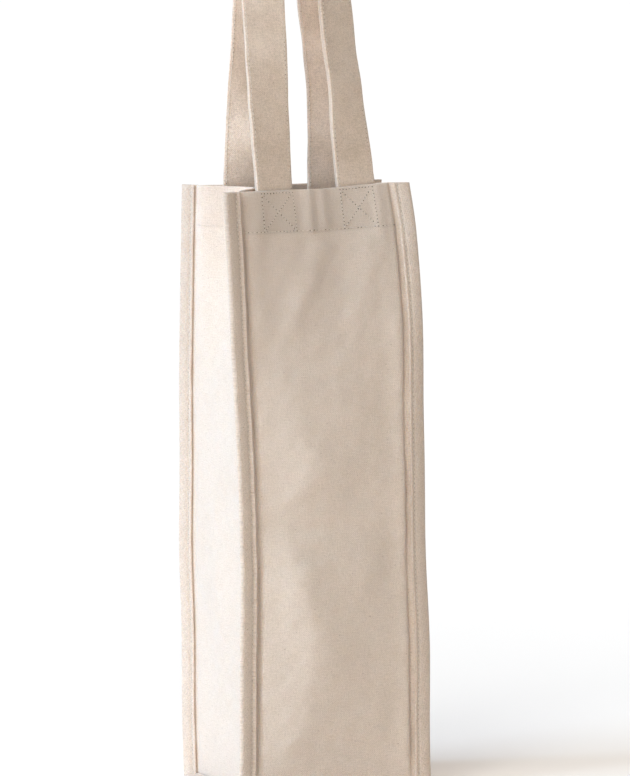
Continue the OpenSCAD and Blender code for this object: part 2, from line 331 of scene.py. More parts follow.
class Shading:
    """A material and its nodes. Most methods add a node and give the output that is used."""

    def __init__(self, name):
        self.material = bpy.data.materials.new(name)
        self.material.use_nodes = True
        self.nodes = self.material.node_tree.nodes
        self.links = self.material.node_tree.links

    def feed(self, node, sockets):
        """Give a node's sockets constants, or link them to other nodes."""
        for key, value in sockets.items():
            if isinstance(value, (int, float, tuple)):
                node.inputs[key].default_value = value
            else:
                self.links.new(value, node.inputs[key])
        return node

    def surface(self, sockets):
        self.feed(self.nodes["Principled BSDF"], sockets)
        return self.material

    def calc(self, operation, *values, clamp=False):
        node = self.nodes.new("ShaderNodeMath")
        node.operation, node.use_clamp = operation, clamp
        return self.feed(node, dict(enumerate(values))).outputs[0]

    def weighted(self, value, middle, weight):
        return self.calc("MULTIPLY", self.calc("SUBTRACT", value, middle), weight)

    def noise(self, vector, scale, detail=2.0, roughness=0.5):
        node = self.nodes.new("ShaderNodeTexNoise")
        sockets = {"Vector": vector, "Scale": scale, "Detail": detail, "Roughness": roughness}
        return self.feed(node, sockets).outputs["Fac"]

    def mapped(self, vector, change, by):
        node = self.nodes.new("ShaderNodeMapping")
        return self.feed(node, {"Vector": vector, change: by}).outputs["Vector"]

    def axes(self, vector):
        return self.feed(self.nodes.new("ShaderNodeSeparateXYZ"), {0: vector}).outputs

    def step(self, fac, low, high):
        """0 up to low and 1 from high on."""
        node = self.feed(self.nodes.new("ShaderNodeValToRGB"), {"Fac": fac})
        for element, place, grey in zip(node.color_ramp.elements, (low, high), (0, 1)):
            element.position = place
            element.color = (grey, grey, grey, 1)
        return node.outputs["Color"]

    def mix(self, fac, a, b):
        node = self.nodes.new("ShaderNodeMix")
        node.data_type = "RGBA"
        return self.feed(node, {0: fac, 6: a, 7: b}).outputs[2]

    def attribute(self, name, output):
        node = self.nodes.new("ShaderNodeAttribute")
        node.attribute_name = name
        return node.outputs[output]


def tinted(colour, tint):
    return tuple(c * k for c, k in zip(colour, tint)) + (1,)


def canvas_material(name, colour, dark, thread=0.62, bump=0.75, bias=0.0, mottling=0.5):
    """Plain-weave cotton: threads that cross, uneven yarn, faint mottling and small flecks, all in cloth millimetres.
    Bias is the angle of the threads to the strip, and a point attribute paints shade: a darker doubled hem, and darker
    cloth where less light falls."""
    g = Shading(name)
    cloth = g.attribute("cloth", "Vector")
    if bias:
        cloth = g.mapped(cloth, "Rotation", (0, 0, math.radians(bias)))
    axes = g.axes(cloth)
    warp, weft = [g.calc("SINE", g.calc("MULTIPLY", axes[i], math.pi / thread)) for i in (0, 1)]
    weave = g.calc("MULTIPLY", warp, weft)
    # Yarn that is thicker in places, along each thread
    slubs = [g.noise(g.mapped(cloth, "Scale", scales), 1.0, 3.0)
             for scales in ((SLUB_ALONG, SLUB_ACROSS, 1), (SLUB_ACROSS, SLUB_ALONG, 1))]
    slub = g.calc("ADD", *slubs)
    grain = g.noise(cloth, GRAIN_SCALE, 3.0, 0.65)
    mottle = g.noise(cloth, MOTTLE_SCALE, 3.0, 0.55)
    fleck = g.noise(g.mapped(cloth, "Scale", FLECK_SCALES), 1.0, 1.0)

    tone = g.calc("ADD", g.weighted(slub, 1.0, SLUB_TONE), g.weighted(grain, 0.5, GRAIN_TONE))
    tone = g.calc("ADD", tone, g.weighted(mottle, 0.5, mottling))
    tone = g.calc("ADD", tone, g.calc("MULTIPLY", g.calc("ABSOLUTE", weave), WEAVE_TONE))
    base = g.mix(g.calc("ADD", tone, 0.5, clamp=True), dark, colour)
    base = g.mix(g.calc("MULTIPLY", g.step(fleck, *FLECK_EDGES), FLECK_MIX), base, tinted(dark, FLECK_TINT))
    # Painted shade: the point attribute mixes the cloth towards a darker colour
    layers = g.calc("MULTIPLY", g.attribute("layers", "Fac"), PAINTED_SHADE_MIX)
    base = g.mix(layers, base, tinted(dark, PAINTED_SHADE_TINT))

    height = g.calc("ADD", g.calc("MULTIPLY", weave, WEAVE_RELIEF), g.calc("MULTIPLY", slub, SLUB_RELIEF))
    height = g.calc("ADD", height, g.calc("MULTIPLY", grain, GRAIN_RELIEF))
    relief = g.feed(g.nodes.new("ShaderNodeBump"), {"Strength": bump, "Distance": RELIEF, "Height": height})
    return g.surface({"Base Color": base, "Normal": relief.outputs["Normal"], **CANVAS_SURFACE})


def thread_material():
    """Twisted sewing thread, about as light as the cloth."""
    g = Shading("sewing_thread")
    wave = g.nodes.new("ShaderNodeTexWave")
    wave.bands_direction = "DIAGONAL"
    g.feed(wave, {"Scale": TWIST_SCALE, "Vector": g.attribute("cloth", "Vector")})
    colour = g.mix(wave.outputs["Fac"], (0.58, 0.47, 0.37, 1), (0.74, 0.62, 0.5, 1))
    return g.surface({"Base Color": colour, "Roughness": 0.7})


def hole_shade_material():
    """Painted shade: the dark that falls inside the needle's holes, on a small disc at the cloth's face."""
    g = Shading("needle_hole_shade")
    shade = g.noise(g.attribute("cloth", "Vector"), HOLE_SHADE_SCALE)
    colour = g.mix(shade, (0.07, 0.05, 0.035, 1), (0.22, 0.16, 0.11, 1))
    return g.surface({"Base Color": colour, **DULL_SURFACE})


CANVAS = canvas_material("canvas", (0.805, 0.65, 0.53, 1), (0.625, 0.48, 0.367, 1))
# The binding is the same canvas; its colours are about 8% darker than the canvas's, as painted shade on the seams
BINDING = canvas_material("binding_canvas", (0.754, 0.598, 0.476, 1), (0.551, 0.416, 0.314, 1),
                          thread=0.75, bump=0.8, bias=38)
STRAP = canvas_material("strap_canvas", (0.785, 0.617, 0.482, 1), (0.558, 0.414, 0.302, 1),
                        thread=0.6, mottling=1.6)
THREAD = thread_material()
HOLE_SHADE = hole_shade_material()


# Meshes


def set_attribute(mesh, name, kind, key, values):
    attribute = mesh.attributes.new(name, kind, "POINT")
    attribute.data.foreach_set(key, np.asarray(values, np.float32).ravel())


def make_piece(name, points, faces, cloth, materials, face_materials=None, layers=None, body="bag", slot=None, flat=0):
    """Mesh object from arrays of points and faces, with each point's place in its flat cloth in millimetres. The last
    faces, as many as flat says, aren't shaded smooth."""
    mesh = bpy.data.meshes.new(name)
    mesh.from_pydata([tuple(p) for p in points], [], [tuple(f) for f in faces])
    mesh.validate()
    for material in materials:
        mesh.materials.append(material)
    set_attribute(mesh, "cloth", "FLOAT_VECTOR", "vector", cloth)
    if layers is not None:
        set_attribute(mesh, "layers", "FLOAT", "value", layers)
    mesh.polygons.foreach_set("use_smooth", np.arange(len(mesh.polygons)) < len(mesh.polygons) - flat)
    if face_materials is not None:
        mesh.polygons.foreach_set("material_index", np.asarray(face_materials, np.int32))
    piece = bpy.data.objects.new(name, mesh)
    bpy.context.scene.collection.objects.link(piece)
    if body:
        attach(piece, body)
    return piece


def closed_grid_faces(rows, cols):
    """Quads of a grid of points that is closed round its rows."""
    r = np.arange(rows)[:, None]
    c = np.arange(cols - 1)[None, :]
    a, b = r * cols + c, (r + 1) % rows * cols + c
    return np.stack([a, a + 1, b + 1, b], -1).reshape(-1, 4)


def tube_piece(name, grid, cloth, materials, whole_ends=False, **rest):
    """Closed piece from rings of points: grid has a closed outline in its first axis and stations in its second.
    Each end is filled across, from an outline's point to its opposite, or as one face."""
    rows, cols = grid.shape[:2]
    faces = [tuple(f) for f in closed_grid_faces(rows, cols)]
    sides = len(faces)
    if whole_ends:
        fillings = [range(rows)]
    else:
        fillings = [(k, k + 1, rows - 2 - k, rows - 1 - k) for k in range(rows // 2 - 1)]
    for end, turn in ((0, 1), (cols - 1, -1)):
        faces += [tuple(i * cols + end for i in filling[::turn]) for filling in fillings]
    points, cloth = grid.reshape(-1, 3), cloth.reshape(-1, 3)
    return make_piece(name, points, faces, cloth, materials, flat=len(faces) - sides, **rest)


# Sides, base and bindings

# Numbers of stations across a seam and a side, up the cloth below the hem and in it, and round the rim
SEAM_STEPS, SIDE_STEPS = 11, 76
BODY_STEPS, HEM_STEPS, RIM_STEPS = 118, 12, 9
# Heights about the hem's lower edge, over which the cloth steps to two layers, and how near the seams it does
HEM_EDGE = np.array([-1.2, -0.5, 0, 0.5, 1.2, 3]) * MM
HEM_STEP, HEM_REACH = 0.5 * MM, 3 * MM
# How different the pattern is from one side to the next
SIDE_SAMPLE = 0.1


def side_lines(side, z):
    """Plan lines of a side at heights z, from the tip of one seam to the tip of the next, with rounded corners:
    points (rows, columns, 2), outward directions and each column's share of the side's width."""
    level = z / BAG_H
    reach = np.linspace(SEAM_W, 0, SEAM_STEPS + 1)[:-1]
    even = np.linspace(0, 1, SIDE_STEPS + 1)
    shares = even - 0.5 * np.sin(math.tau * even) / math.tau
    drawn = smooth(INSET_START, INSET_FULL, reach)[:, None] * inset_level(level)[:, None]

    def seam_lines(corner):
        lines = corner_place(corner, level)[:, None] + reach[:, None] * seam_direction(corner, level)[:, None]
        return lines + drawn * CORNER_INSETS[corner]

    middle = side_point(side, shares[None, :], level[:, None])
    line = np.concatenate([seam_lines(side), middle, seam_lines(next_corner(side))[:, ::-1]], 1)
    for _ in range(2):
        line[:, 1:-1] = (line[:, :-2] + 2 * line[:, 1:-1] + line[:, 2:]) / 4
    width = side_width(side)
    columns = np.concatenate([-reach / width, shares, 1 + reach[::-1] / width])
    return line, outward(unit(np.gradient(line, axis=1))), columns


def sheet_profile(low):
    """Cross-section of a sheet from its foot up its outer face, over the rim and down its inner face:
    heights, and places through the cloth, 0 on the outer face and 1 on the inner one. Symmetric about the rim."""
    rim = BAG_H - CANVAS_T
    below = np.linspace(low, HEM_Z + HEM_EDGE[0], BODY_STEPS)
    above = np.linspace(HEM_Z + HEM_EDGE[-1], rim, HEM_STEPS)
    up = np.concatenate([below, HEM_Z + HEM_EDGE[1:-1], above])
    turn = np.linspace(0, math.pi, RIM_STEPS)[1:-1]
    heights = np.concatenate([up, rim + CANVAS_T * np.sin(turn), up[::-1]])
    through = np.concatenate([np.zeros(len(up)), (1 - np.cos(turn)) / 2, np.ones(len(up))])
    return heights, through


def sheet(name, side, node, low=0.0):
    """A side of the bag: one sheet of canvas with its top edge turned in."""
    z, through = sheet_profile(low)
    line, out, columns = side_lines(side, z)
    width = side_width(side)
    share, height = np.broadcast_arrays(columns, z[:, None])
    free = smooth(0, HEM_REACH, share * width) * smooth(0, HEM_REACH, (1 - share) * width)
    hem = smooth(HEM_Z - HEM_STEP, HEM_Z + HEM_STEP, height) * free
    thick = CANVAS_T * (1 + hem)
    offset = SEAM_HALF - thick * through[:, None] + folds(side, share, height)
    plan = line + out * offset[..., None]
    lift = rim_lift(side, np.clip(share, 0, 1), height)
    grid = np.concatenate([plan, (height + lift)[..., None]], -1)
    cloth = np.stack([share * width, height, np.full_like(share, SIDE_SAMPLE * side)], -1) / MM
    # Painted shade: the doubled hem, the upper front and the lower left gusset are darker, and the front's shade fades
    # towards its right-hand edge
    tone = hem * HEM_PAINTED_SHADE[side] + at_level(SIDE_PAINTED_SHADE[side], np.clip(height / BAG_H, 0, 1))
    layers = tone * (1 - PAINTED_SHADE_FADES[side] * smooth(FADE_START, FADE_END, share))
    piece = tube_piece(name, grid, cloth, [CANVAS], layers=layers, slot="canvas")
    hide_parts(node)
    return piece


# Where a binding's row of stitches runs, and how far it presses the strip in
BINDING_STITCH = BINDING_START + 2.3 * MM
STITCH_SINK = 0.4 * MM
# Points of a binding's outer face, in mm across and out: from its lip's top, from its stitches and from its fold
LIP_POINTS = [(0, -0.9), (-0.2, -0.5), (-0.02, -0.2), (0.4, 0), (0.9, 0)]
STITCH_ROW_POINTS = [(-0.75, 0.12), (0, -STITCH_SINK / MM), (0.75, 0), (1.8, 0.2), (3.4, 0.2)]
FOLD_POINTS = [(-1.9, 0), (-1.1, -0.3), (-0.45, -0.85), (-0.1, -1.45)]
FOLD_TIP = 0.12 * MM
# Points of its inner face: distance in mm from the lip and share of the lip's rise, and the fold's radius and height
INNER_LIP_POINTS = [(0.5, 0.75), (1.2, 0.2)]
INNER_FOLD_R, INNER_FOLD_SHARE = 0.8 * MM, 0.6
# Waves in which a binding puffs up and wanders: height, length and seed, and how far off the slot puffing starts
PUFF, PUFF_L, PUFF_SEED, PUFF_EDGES = 0.16 * MM, 22 * MM, 60, (0.1 * MM, 0.5 * MM)
PUFF_STRETCH = 0.5
WANDER, WANDER_L, WANDER_SEED = 0.28 * MM, 90 * MM, 50
# How far the pattern shifts round a binding's fold
FOLD_SHIFT = 0.7
SEAM_STATIONS, BASE_SEAM_STATIONS = 240, 60


def binding_outline(lip_rise):
    """Cross-section of a binding: distance from the corner and across the seam, with soft folded lips, symmetric."""
    fold_x = BINDING_END - BINDING_T
    inner = [(BINDING_START + x * MM, SLOT_HALF + share * lip_rise) for x, share in INNER_LIP_POINTS]
    inner += [(BINDING_STITCH, SLOT_HALF), (fold_x - INNER_FOLD_R, SLOT_HALF), (fold_x, INNER_FOLD_SHARE * SLOT_HALF)]
    parts = [(BINDING_START, BINDING_HALF + lip_rise, LIP_POINTS), (BINDING_STITCH, BINDING_HALF, STITCH_ROW_POINTS),
             (BINDING_END, BINDING_HALF, FOLD_POINTS)]
    outer = [(from_x + x * MM, from_y + y * MM) for from_x, from_y, points in parts for x, y in points]
    half = inner[::-1] + outer + [(BINDING_END, FOLD_TIP)]
    return np.array(half + [(x, -y) for x, y in half[::-1]])


def binding_strip(lip_rise, run, sample):
    """A binding's cross-section at each place of its run: across, out and along, and its places in the flat cloth."""
    outline = binding_outline(lip_rise)
    x, y, along = np.broadcast_arrays(outline[:, :1], outline[:, 1:], run)
    return x, y, along, np.stack([(x + FOLD_SHIFT * y) / MM, along / MM, np.full_like(x, sample)], -1)


def binding_place(corner, x, y, z):
    """Point of an upright binding from its cross-section's x and y: the strip wanders and puffs a little."""
    along = seam_direction(corner, z / BAG_H)
    across = -outward(along)
    low, high = PUFF_EDGES
    outer = smooth(SLOT_HALF + low, SLOT_HALF + high, np.abs(y))
    puff = PUFF * cloth_noise(z, x * PUFF_STRETCH, PUFF_SEED + corner, PUFF_L) * outer
    x = x + WANDER * cloth_noise(z, 0 * z, WANDER_SEED + corner, WANDER_L)
    y = y + np.sign(y) * puff
    plan = corner_place(corner, z / BAG_H) + x[..., None] * along + y[..., None] * across
    return np.concatenate([plan, (z + RIM_LIFTS[corner] * rim_rise(z))[..., None]], -1)


def binding(name, corner):
    """An upright binding: a folded strip round the edge of a seam, a little uneven along its length."""
    x, y, z, cloth = binding_strip(LIP_RISES[corner], np.linspace(0, BAG_H, SEAM_STATIONS), corner)
    grid = binding_place(corner, x, y, z)
    # Painted shade on the binding, darker at the levels of its table
    tone = at_level(SEAM_PAINTED_SHADE[corner], z / BAG_H)
    piece = tube_piece(name + "_seam", grid, cloth, [BINDING], whole_ends=True, layers=tone, slot="binding")
    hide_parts(name + "_binding")
    return piece


def base_binding(name, side):
    low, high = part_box(name + "_binding")
    x, y, run, cloth = binding_strip(BASE_LIP_RISE, np.linspace(low.y, high.y, BASE_SEAM_STATIONS), side)
    grid = np.stack([side * (BAG_W / 2 + x), run, SEAM_Z + np.clip(y, -SEAM_Z, None)], -1)
    if side < 0:
        grid = grid[:, ::-1]
    piece = tube_piece(name + "_seam", grid, cloth, [BINDING], whole_ends=True, slot="binding")
    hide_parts(name + "_binding")
    return piece


# The base's stations: shares of its flat half, and numbers along its raised edge and its depth
BASE_SHARES = np.array([0, 0.3, 0.6, 0.8, 0.9, 0.95])
BASE_RAMP_STEPS, BASE_STEPS = 8, 40


def base_sheet():
    """The bottom of the bag, with its side edges raised into the seams."""
    low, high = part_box("base_panel")
    corner = BAG_W / 2
    flat = corner - BASE_RAMP
    half = np.concatenate([BASE_SHARES * flat, np.linspace(flat, corner, BASE_RAMP_STEPS),
                           [corner + SEAM_W / 2, corner + SEAM_W]])
    across = np.concatenate([-half[:0:-1], half])
    rise = (SEAM_Z - SEAM_HALF) * smooth(flat, corner, np.abs(across))
    outline = np.concatenate([np.stack([across, rise], -1), np.stack([across, rise + CANVAS_T], -1)[::-1]])
    x, z, y = np.broadcast_arrays(outline[:, :1], outline[:, 1:], np.linspace(low.y, high.y, BASE_STEPS))
    grid = np.stack([x, y, z], -1)
    piece = tube_piece("base_canvas", grid, grid / MM, [CANVAS], slot="canvas")
    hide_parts("base_panel")
    return piece


# Straps

# Numbers of stations up a leg, round half the arch, down a sewn end, across a face and round an edge
LEG_STEPS, ARCH_STEPS, END_STEPS, FACE_STEPS, EDGE_STEPS = 90, 40, 20, 14, 9
# How far a strap's round edges stand out, and how late it turns its face up, as a power of the way gone
EDGE_BULGE = 0.5 * MM
TURN_POWER = 12
# Share of the rim's bow at which the feet stand
FOOT_BOW = 0.56
# How far apart a sewn end looks for the hem's direction, as a share of the width
END_LOOK = 0.01
# Stations below and above the rim over which a sewn end runs into the loop
JOIN_BELOW, JOIN_ABOVE = 6, 24
# How far the legs of each strap stand from their plain path, across and towards the front, at heights over the rim
LEG_DRIFT_Z = np.array([0, 10, 30, 55, 80, 110, 128]) * MM
LEG_DRIFTS = {
    (FRONT, -1): ([1, 0.8, 0, -1.4, -2.6, -3.6, 0], [0, 0, 0, 0.8, 1.2, 0.6, 0]),
    (FRONT, 1): ([2, 1.5, 0.6, 0.6, 0.4, 0, 0], [0, 0, 0.4, 0.8, 0.6, 0, 0]),
    (BACK, -1): ([3.5, 4, 4.4, 4.6, 5, 5, 0], [0, 0, 0, 0, 0, 0, 0]),
    (BACK, 1): ([0, 0, 0.8, 1.2, 0, -2.6, 0], [0, 0, 0, 0, 0, 0, 0]),
}
# How far the face of each leg turns to the left, in degrees, and the depth below the rim at which it starts to
LEG_TURN_Z = np.array([0, 10, 30, 55, 80, 110, 140]) * MM
LEG_TURNS = {
    (FRONT, -1): [-6, -6, -4, 5, 13, 13, 0],
    (FRONT, 1): [0, -2, -6, -12, -16, -13, 0],
    (BACK, -1): [-4, 4, 19, 12, 6, 4, 0],
    (BACK, 1): [0, 4, 8, 6, 3, 0, 0],
}
LEG_TURN_DEPTH = 8 * MM
# Waves of a strap's faces: height, length and seed, and the heights over the rim between which they come and go
STRAP_WAVE, STRAP_WAVE_L, STRAP_WAVE_SEED = 0.5 * MM, 48 * MM, 20
WAVE_START, WAVE_END = (3 * MM, 30 * MM), (150 * MM, 110 * MM)
# How far the pattern shifts from one face to the other, and how different it is from the sheets' one
FACE_SHIFT, STRAP_SAMPLE = 3 * MM, 5.0


def rim_middle(side):
    middle = (corner_place(side, RIM_LEVEL) + corner_place(next_corner(side), RIM_LEVEL)) / 2
    out = outward(unit(side_chord(side, RIM_LEVEL)))
    return middle + out * BAG_D * at_level(SIDE_BOWS[side], RIM_LEVEL) * FOOT_BOW


def strap_path(rise):
    """Middle line of a loop in its own plane, from the left foot to the right one: places across and up, directions,
    and the angles by which the strap's face turns up."""
    arch_r = ARCH_W / 2
    leg_rise = rise - arch_r
    leg_in = (STRAP_SPACING - ARCH_W) / 2
    share = np.linspace(0, 1, LEG_STEPS)[:-1]
    leg = np.stack([-STRAP_SPACING / 2 + leg_in * (1 - np.cos(np.pi * share)) / 2, leg_rise * share], -1)
    leg_way = unit(np.stack([leg_in * math.pi / 2 * np.sin(np.pi * share), 0 * share + leg_rise], -1))
    angle = np.linspace(0, math.pi / 2, ARCH_STEPS)
    arch = np.stack([-arch_r * np.cos(angle), leg_rise + arch_r * np.sin(angle)], -1)
    arch_way = np.stack([np.sin(angle), np.cos(angle)], -1)
    place = np.concatenate([leg, arch])
    way = np.concatenate([leg_way, arch_way])
    gone = np.concatenate([share * leg_rise, leg_rise + arch_r * angle]) / (leg_rise + arch_r * math.pi / 2)
    turn = math.pi / 2 * gone ** TURN_POWER * (1 + TURN_POWER * (1 - gone))
    flip = np.array([-1, 1])
    place = np.concatenate([place, place[-2::-1] * flip])
    way = np.concatenate([way, way[-2::-1] * -flip])
    turn = np.concatenate([turn, turn[-2::-1]])
    return place, way, turn


def strap_outline():
    """Cross-section of a strap: across and through, with round edges, symmetric."""
    edge = STRAP_T / 2
    flat = STRAP_W / 2 - EDGE_BULGE
    side = np.linspace(-flat, flat, FACE_STEPS)
    round_right = np.linspace(math.pi / 2, -math.pi / 2, EDGE_STEPS)[1:-1]
    top = np.stack([side, 0 * side + edge], -1)
    right = np.stack([flat + EDGE_BULGE * np.cos(round_right) ** 0.5, edge * np.sin(round_right)], -1)
    half = np.concatenate([top, right])
    return np.concatenate([half, -half])


def strap_plane(side, lean):
    """The middle of a loop's feet, and directions along the rim, up the leaning plane and out of it."""
    direction = unit(side_chord(side, RIM_LEVEL))
    out = outward(direction)
    foot = rim_middle(side) - out * (STRAP_FACE + STRAP_T / 2)
    base = np.append(foot, BAG_H + RUNNING_GAP + STRAP_T / 2 * math.sin(lean))
    up = np.append(-out * math.sin(lean), math.cos(lean))
    front = np.append(out * math.cos(lean), math.sin(lean))
    return base, np.append(direction, 0), up, front


def loop_rings(plane, rise, outline):
    """Rings of a strap over the rim, from its left foot to its right one."""
    base, along, up, front = plane
    place, way, turn = strap_path(rise)
    middle = base + place[:, :1] * along + place[:, 1:] * up
    normal_in_plane = -way[:, 1:] * along + way[:, :1] * up
    face = np.cos(turn)[:, None] * front + np.sin(turn)[:, None] * normal_in_plane
    travel = way[:, :1] * along + way[:, 1:] * up
    width = np.cross(travel, face)
    return middle[:, None] + outline[None, :, :1] * width[:, None] + outline[None, :, 1:] * face[:, None]


def end_rings(side, leg, outline):
    """Rings of a strap's sewn end, which follows the hem's inner face up to the rim."""
    z = np.linspace(BAG_H - STRAP_END_H, BAG_H + RUNNING_GAP, END_STEPS)
    level = np.minimum(z / BAG_H, 1)
    chord = np.linalg.norm(side_chord(side, level), axis=-1)
    share = 0.5 + (leg * STRAP_SPACING / 2 + outline[None, :, 0]) / chord[:, None]
    normal = side_normal(side, share, level[:, None], END_LOOK)
    plan = side_point(side, share, level[:, None]) + normal * (-STRAP_FACE - STRAP_T / 2 + outline[None, :, 1:])
    return np.concatenate([plan, np.broadcast_to(z[:, None, None], plan.shape[:2] + (1,))], -1)


def join_rings(left, loop, right):
    """Rings of a whole strap, with the step between its loop and each sewn end softened."""
    rings = np.concatenate([left[:-1], loop, right[1:]])
    for start, sense, end in ((len(left) - 1, 1, left[-1]), (len(rings) - len(right), -1, right[0])):
        gap = rings[start] - end
        for k in range(-JOIN_BELOW, JOIN_ABOVE):
            share = smooth(-JOIN_BELOW, JOIN_ABOVE, float(k))
            rings[start + sense * k] += gap * (share if k < 0 else share - 1)
    return rings


def drift(side, points):
    """Move of a strap's points along the front and towards it, from the drifts of its legs."""
    height = np.clip(points[:, 2] - BAG_H, 0, LEG_DRIFT_Z[-1])
    moves = np.zeros_like(points)
    for leg in (-1, 1):
        across, forward = LEG_DRIFTS[side, leg]
        own = points[:, 0] * leg > 0
        moves[own, 0] = along_height(height[own], LEG_DRIFT_Z, across) * MM
        moves[own, 1] = -along_height(height[own], LEG_DRIFT_Z, forward) * MM
    return moves


def turned_legs(side, rings, middles):
    """Rings of a strap with each leg's face turned about an upright line through its middle."""
    angle = np.zeros(len(middles))
    height = np.clip(middles[:, 2] - BAG_H, 0, LEG_TURN_Z[-1])
    for leg in (-1, 1):
        own = middles[:, 0] * leg > 0
        angle[own] = -np.radians(along_height(height[own], LEG_TURN_Z, LEG_TURNS[side, leg]))
    angle = (angle * smooth(-LEG_TURN_DEPTH, 0, middles[:, 2] - BAG_H))[:, None]
    x, y, z = np.moveaxis(rings - middles[:, None], -1, 0)
    turned = [x * np.cos(angle) - y * np.sin(angle), x * np.sin(angle) + y * np.cos(angle), z]
    return middles[:, None] + np.stack(turned, -1)


def run_length(line):
    """Length gone at each point of a line."""
    return np.concatenate([[0], np.cumsum(np.linalg.norm(np.diff(line, axis=0), axis=-1))])


def handle(name, side, lean, rise, node):
    """A strap with its rows of stitches: its ends are sewn into the hem, and its loop leans and rises over the rim."""
    outline = strap_outline()
    plane = strap_plane(side, math.radians(lean))
    left, right = [end_rings(side, leg, outline) for leg in (-1, 1)]
    # The right-hand end runs downwards, with its outline turned round so that its faces stay on their sides
    mirrored = [np.argmin(np.abs(outline[:, 0] + x) + np.abs(outline[:, 1] - y)) for x, y in outline]
    rings = join_rings(left, loop_rings(plane, rise, outline), right[::-1, mirrored])
    middles = rings.mean(1)
    rings = turned_legs(side, rings, middles) + drift(side, middles)[:, None]
    length = run_length(middles)
    height = middles[:, 2] - BAG_H
    faces = unit(np.cross(np.gradient(middles, axis=0), rings[:, FACE_STEPS - 1] - rings[:, 0]))
    uneven = cloth_noise(length[:, None], outline[None, :, 0], STRAP_WAVE_SEED + side, STRAP_WAVE_L)
    free = smooth(*WAVE_START, height) * smooth(*WAVE_END, height)
    rings = rings + faces[:, None] * (STRAP_WAVE * uneven * free[:, None])[..., None]
    grid = np.swapaxes(rings, 0, 1)
    across, along = np.broadcast_arrays(outline[:, :1] + FACE_SHIFT * np.sign(outline[:, 1:]), length)
    cloth = np.stack([across / MM, along / MM, np.full(across.shape, STRAP_SAMPLE + side)], -1)
    # Painted shade on the strap: the front one is darker all over
    tone = np.full(across.shape, STRAP_PAINTED_SHADE[side])
    piece = tube_piece(name, grid[::-1], cloth[::-1], [STRAP], layers=tone, body=None, slot="strap")
    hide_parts(node, node + "_left_end", node + "_right_end")
    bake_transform(piece)
    thread = sew_strap(name + "_thread", rings, outline)


# Sewing

STITCH_PITCH, STITCH_L, THREAD_R, HOLE_L, HOLE_W = 2.7 * MM, 1.7 * MM, 0.24 * MM, 0.6 * MM, 0.45 * MM
STITCH_SIDES, HOLE_SIDES = 5, 7
# Rings of a stitch: place as a share of its length, rise in mm and radius against the thread's
STITCH_RINGS = [(-0.5, -0.16, 0.5), (-0.28, 0.12, 0.95), (0, 0.2, 1), (0.28, 0.12, 0.95), (0.5, -0.16, 0.5)]
# Heights of a hole's middle and of its rim
HOLE_TOP, HOLE_RIM = 0.07 * MM, -0.06 * MM
# How uneven the stitches are in size and direction, and how far a row looks ahead for its direction
STITCH_SIZES, STITCH_SLANT, ROW_LOOK = (0.93, 1.07), 0.06, 0.3 * MM
# How different the pattern is from one row to the next, for each point before it
ROW_SAMPLE = 0.01
# Sizes of the holes against the usual one, for the boxes, the straps, the seams and each side's hem
BOX_HOLE, STRAP_HOLE, SEAM_HOLE = 1.3, 0.5, 1.35
HEM_HOLES = [0.7, 0.6, 0.7, 0.35]
STRAP_SEED, HEM_SEED, SEAM_SEED, BASE_SEED = 70, 80, 90, 95
# The boxes at the straps' ends: width, distance below the rim, pitch against the usual one, and shifts in mm
BOX_W, BOX_TOP, BOX_PITCH, BOX_STEPS = 21.5 * MM, 1.6 * MM, 0.8, 12
BOX_SHIFTS = {(BACK, 1): -2, (FRONT, -1): 1}
# Corners of a box between which its strokes run: its sides, then its cross
BOX_STROKES = [(0, 1), (1, 2), (2, 3), (3, 0), (0, 2), (3, 1)]
# Rows: the hem's height and its ends' distance from the seams, a strap's from its edges, a seam's from its ends
HEM_ROW_Z, HEM_ROW_MARGIN, STRAP_ROW_MARGIN, SEAM_ROW_MARGIN = HEM_Z + 1.3 * MM, 1 * MM, 1.6 * MM, 1.5 * MM
HEM_ROW_STEPS, SEAM_ROW_STEPS, BASE_ROW_STEPS = 60, 300, 40
# Steps by which a sheet's surface looks about for its plane and its normal
PLANE_LOOK, SHARE_LOOK, HEIGHT_LOOK = 0.004, 0.003, 0.3 * MM
FACE_TOLERANCE = 0.01 * MM


def stitch_shape():
    """One stitch along x with z outwards, whose ends dip into the cloth, then the needle's hole behind it, a dark disc
    of
    painted shade: points, faces, each face's material, and the number of the hole's middle point, which its rim
    follows."""
    points, faces = [], []
    for share, rise, radius in STITCH_RINGS:
        for k in range(STITCH_SIDES):
            angle = math.tau * k / STITCH_SIDES
            points.append((share * STITCH_L, radius * THREAD_R * math.cos(angle),
                           rise * MM + radius * THREAD_R * math.sin(angle)))
    last = len(points) - STITCH_SIDES
    for ring in range(0, last, STITCH_SIDES):
        for k in range(STITCH_SIDES):
            here, ahead = ring + k, ring + (k + 1) % STITCH_SIDES
            faces.append((ahead, ahead + STITCH_SIDES, here + STITCH_SIDES, here))
    faces += [tuple(range(STITCH_SIDES)), tuple(reversed(range(last, len(points))))]
    kinds = [0] * len(faces) + [1] * HOLE_SIDES
    middle = len(points)
    points.append((STITCH_PITCH / 2, 0, HOLE_TOP))
    for k in range(HOLE_SIDES):
        angle = math.tau * k / HOLE_SIDES
        points.append((STITCH_PITCH / 2 + HOLE_L * math.cos(angle), HOLE_W * math.sin(angle), HOLE_RIM))
        faces.append((middle, middle + 1 + k, middle + 1 + (k + 1) % HOLE_SIDES))
    return np.array(points), faces, kinds, middle


STITCH_POINTS, STITCH_FACES, STITCH_KINDS, HOLE_FIRST = stitch_shape()
HOLE_MIDDLE = STITCH_POINTS[HOLE_FIRST]


def resample(values, length, places):
    """Values of a line's points at places along its length."""
    return np.stack([np.interp(places, length, values[:, k]) for k in range(3)], -1)


